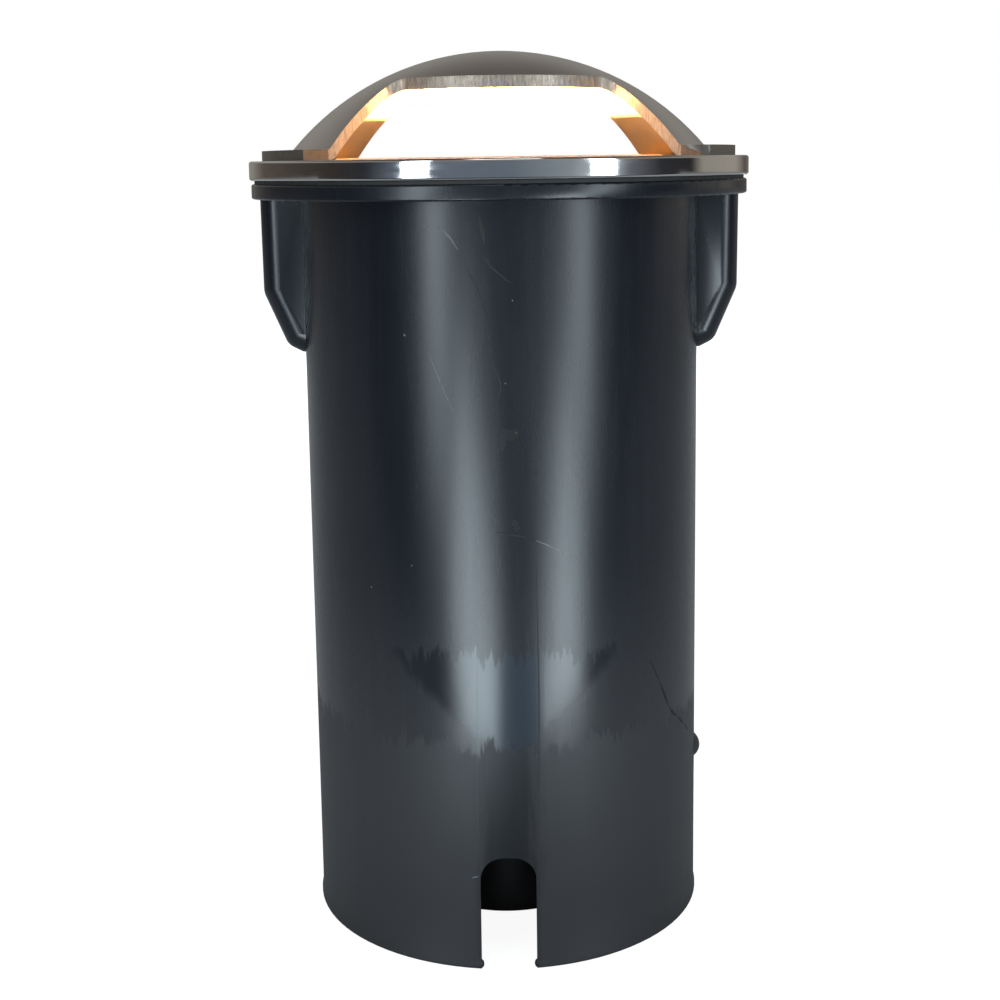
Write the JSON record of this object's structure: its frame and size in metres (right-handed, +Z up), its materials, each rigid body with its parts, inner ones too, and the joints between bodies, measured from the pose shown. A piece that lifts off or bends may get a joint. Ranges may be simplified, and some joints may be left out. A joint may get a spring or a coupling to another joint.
{
  "type": "in-ground well light",
  "caption": "In-ground well light: drop-in lamp under a polished ring and a domed cover open front and back, in a black sleeve with screw bosses and a cable slot.",
  "frame": {"origin": "centre of the sleeve's bottom edge, where it stands on the ground", "axes": "+Z up along the sleeve, -Y the front with the cable slot, X through the two screw bosses"},
  "size_m": [0.114, 0.114, 0.1991],
  "materials": {
    "black_moulding": "satin moulded black polypropylene",
    "brass": "turned",
    "black_rubber": "matte",
    "painted_casting": "satin black coated aluminium",
    "polished_stainless": "polished with fine turning marks",
    "stainless_fasteners": "plain stainless",
    "lens_glass": "clear tempered glass",
    "black_baffle": "matte black anodised",
    "bright_aluminium": "bright spun",
    "grey_pad": "matte",
    "led_board": "white coated",
    "emitter": "yellow phosphor",
    "white_plastic": "matte",
    "lead_insulation": "satin",
    "black_tube": "glossy black",
    "circuit_board": "satin",
    "component_mix": "satin",
    "gland_nylon": "satin",
    "satin_stainless": "satin"
  },
  "bodies": {
    "sleeve": {"ground_sleeve": "black_moulding", "threaded_inserts": "brass", "sleeve_gasket": "black_rubber"},
    "lamp": {"lamp_housing": "painted_casting", "bezel_ring": "polished_stainless", "ring_screws": "stainless_fasteners", "lens": "lens_glass", "lens_gasket": "black_rubber", "baffle_plate": "black_baffle", "reflector": "bright_aluminium", "thermal_pad": "grey_pad", "led_board": "led_board", "led_emitter": "emitter", "led_holder": "white_plastic", "holder_screws": "stainless_fasteners", "led_leads": "lead_insulation", "wiring_base": "painted_casting", "base_seal": "black_rubber", "base_screws": "stainless_fasteners", "driver_tube": "black_tube", "tube_seal": "black_rubber", "tube_cap": "black_tube", "cap_seal": "black_rubber", "driver_board": "circuit_board", "driver_components": "component_mix", "gland_body": "gland_nylon", "gland_seal": "black_rubber", "gland_nut": "gland_nylon", "gland_washer": "black_rubber", "gland_locknut": "gland_nylon"},
    "cover": {"dome_cover": "satin_stainless"},
    "screw_left": {"cover_screw_left": "stainless_fasteners"},
    "screw_right": {"cover_screw_right": "stainless_fasteners"}
  },
  "joints": [
    {"name": "lamp_lift", "type": "slide", "parent": "sleeve", "child": "lamp", "axis": [0, 0, 1], "range_m": [0, 0.175]},
    {"name": "cover_lift", "type": "slide", "parent": "lamp", "child": "cover", "axis": [0, 0, 1], "range_m": [0, 0.03]},
    {"name": "left_screw_draw", "type": "slide", "parent": "cover", "child": "screw_left", "axis": [0, 0, 1], "range_m": [0, 0.02]},
    {"name": "right_screw_draw", "type": "slide", "parent": "cover", "child": "screw_right", "axis": [0, 0, 1], "range_m": [0, 0.02]}
  ]
}
